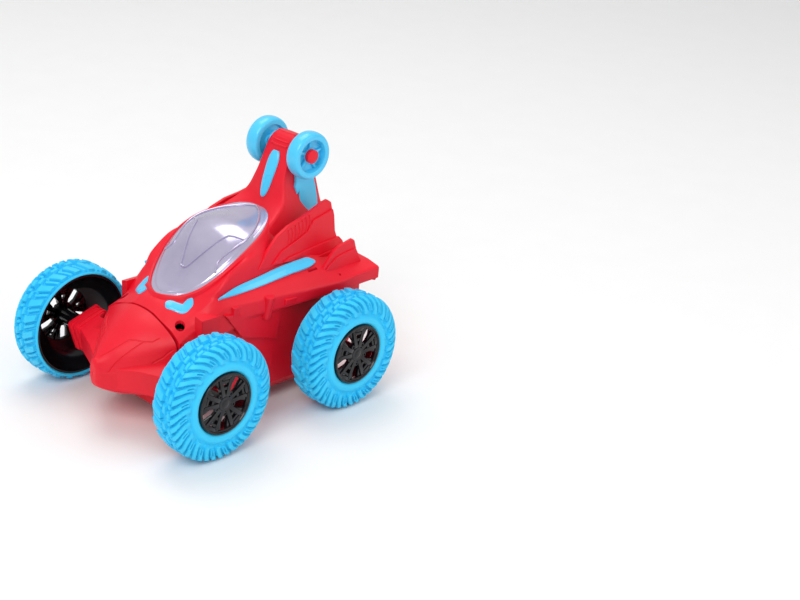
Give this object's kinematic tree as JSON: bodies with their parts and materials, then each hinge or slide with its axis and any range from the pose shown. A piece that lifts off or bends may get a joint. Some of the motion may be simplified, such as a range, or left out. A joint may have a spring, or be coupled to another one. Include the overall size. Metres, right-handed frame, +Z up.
{
  "type": "rc stunt car",
  "caption": "Radio controlled stunt car with a rolling nose, big treaded wheels, a dome cockpit and small wheels on a tail fin.",
  "frame": {"origin": "floor centre under the car, at the middle of its bounding box", "axes": "-Y forward to the nose, +X to the car's left side, +Z up"},
  "size_m": [0.1712, 0.202, 0.1746],
  "materials": {
    "body_red": "satin moulded ABS",
    "tyre_blue": "soft moulded tread rubber",
    "trim_blue": "gloss moulded plastic",
    "rim_black": "gloss moulded plastic",
    "dome_silver": "gloss smoked silver shell",
    "tray_silver": "vacuum metallised",
    "steel": "ground rod",
    "motor_can": "plated can",
    "gear_white": "natural nylon",
    "frame_black": "moulded plastic",
    "board_green": "solder mask",
    "cell_wrap": "shrink wrap",
    "lamp_clear": "clear lens"
  },
  "bodies": {
    "chassis": {"upper_shell": "body_red", "lower_tub": "body_red", "canopy_dome": "dome_silver", "cockpit_tray": "tray_silver", "dome_lamps": "lamp_clear", "fin_inlay": "trim_blue", "tail_axle": "steel", "tail_axle_caps": "body_red", "battery_door": "body_red", "battery_cells": "cell_wrap", "circuit_board": "board_green", "switch_housing": "frame_black", "charge_socket": "frame_black", "speaker": "frame_black", "roll_motor": "motor_can", "roll_bush": "frame_black", "shell_screws": "steel", "door_screw": "steel", "hood_mark_left": "trim_blue", "side_strip_left": "trim_blue", "tail_strut_left": "trim_blue", "gearbox_left": "frame_black", "drive_motor_left": "motor_can", "hood_mark_right": "trim_blue", "side_strip_right": "trim_blue", "tail_strut_right": "trim_blue", "gearbox_right": "frame_black", "drive_motor_right": "motor_can"},
    "nose": {"nose_top_cover": "body_red", "nose_bottom_tray": "body_red", "nose_back_plate": "body_red", "roll_shaft": "steel", "roll_gear": "gear_white", "front_arm_left": "body_red", "front_stub_axle_left": "steel", "front_arm_right": "body_red", "front_stub_axle_right": "steel"},
    "roll_pinion": {"roll_pinion": "gear_white", "roll_motor_shaft": "steel"},
    "switch_knob": {"power_switch": "frame_black"},
    "front_left_wheel": {"tyre_front_left": "tyre_blue", "rim_front_left": "rim_black"},
    "rear_left_wheel": {"tyre_rear_left": "tyre_blue", "rim_rear_left": "rim_black", "rear_half_axle_left": "steel", "axle_gear_left": "gear_white"},
    "left_idler": {"idler_gear_left": "gear_white"},
    "left_motor_shaft": {"motor_pinion_left": "gear_white"},
    "tail_left_wheel": {"tail_wheel_left": "trim_blue"},
    "front_right_wheel": {"tyre_front_right": "tyre_blue", "rim_front_right": "rim_black"},
    "rear_right_wheel": {"tyre_rear_right": "tyre_blue", "rim_rear_right": "rim_black", "rear_half_axle_right": "steel", "axle_gear_right": "gear_white"},
    "right_idler": {"idler_gear_right": "gear_white"},
    "right_motor_shaft": {"motor_pinion_right": "gear_white"},
    "tail_right_wheel": {"tail_wheel_right": "trim_blue"}
  },
  "joints": [
    {"name": "nose_roll", "type": "hinge", "parent": "chassis", "child": "nose", "pos_m": [0, -0.05, 0.04], "axis": [0, 1, 0], "continuous": true},
    {"name": "roll_pinion_spin", "type": "hinge", "parent": "chassis", "child": "roll_pinion", "pos_m": [0, -0.035, 0.0592], "axis": [0, 1, 0], "continuous": true},
    {"name": "switch_slide", "type": "slide", "parent": "chassis", "child": "switch_knob", "axis": [0, 1, 0], "range_m": [0, 0.003]},
    {"name": "front_left_spin", "type": "hinge", "parent": "nose", "child": "front_left_wheel", "pos_m": [0, -0.06075, 0.04], "axis": [1, 0, 0], "continuous": true},
    {"name": "rear_left_spin", "type": "hinge", "parent": "chassis", "child": "rear_left_wheel", "pos_m": [0, 0.05375, 0.04], "axis": [1, 0, 0], "continuous": true},
    {"name": "left_idler_spin", "type": "hinge", "parent": "chassis", "child": "left_idler", "pos_m": [0, 0.03935, 0.04], "axis": [1, 0, 0], "continuous": true},
    {"name": "left_motor_spin", "type": "hinge", "parent": "chassis", "child": "left_motor_shaft", "pos_m": [0, 0.02495, 0.04], "axis": [1, 0, 0], "continuous": true},
    {"name": "tail_left_spin", "type": "hinge", "parent": "chassis", "child": "tail_left_wheel", "pos_m": [0, 0.0619, 0.1584], "axis": [1, 0, 0], "continuous": true},
    {"name": "front_right_spin", "type": "hinge", "parent": "nose", "child": "front_right_wheel", "pos_m": [0, -0.06075, 0.04], "axis": [1, 0, 0], "continuous": true},
    {"name": "rear_right_spin", "type": "hinge", "parent": "chassis", "child": "rear_right_wheel", "pos_m": [0, 0.05375, 0.04], "axis": [1, 0, 0], "continuous": true},
    {"name": "right_idler_spin", "type": "hinge", "parent": "chassis", "child": "right_idler", "pos_m": [0, 0.03935, 0.04], "axis": [1, 0, 0], "continuous": true},
    {"name": "right_motor_spin", "type": "hinge", "parent": "chassis", "child": "right_motor_shaft", "pos_m": [0, 0.02495, 0.04], "axis": [1, 0, 0], "continuous": true},
    {"name": "tail_right_spin", "type": "hinge", "parent": "chassis", "child": "tail_right_wheel", "pos_m": [0, 0.0619, 0.1584], "axis": [1, 0, 0], "continuous": true}
  ],
  "couplings": [
    {"joint": "roll_pinion_spin", "follows": "nose_roll", "ratio": -3},
    {"joint": "left_idler_spin", "follows": "rear_left_spin", "ratio": -3},
    {"joint": "left_motor_spin", "follows": "rear_left_spin", "ratio": 9},
    {"joint": "right_idler_spin", "follows": "rear_right_spin", "ratio": -3},
    {"joint": "right_motor_spin", "follows": "rear_right_spin", "ratio": 9}
  ]
}
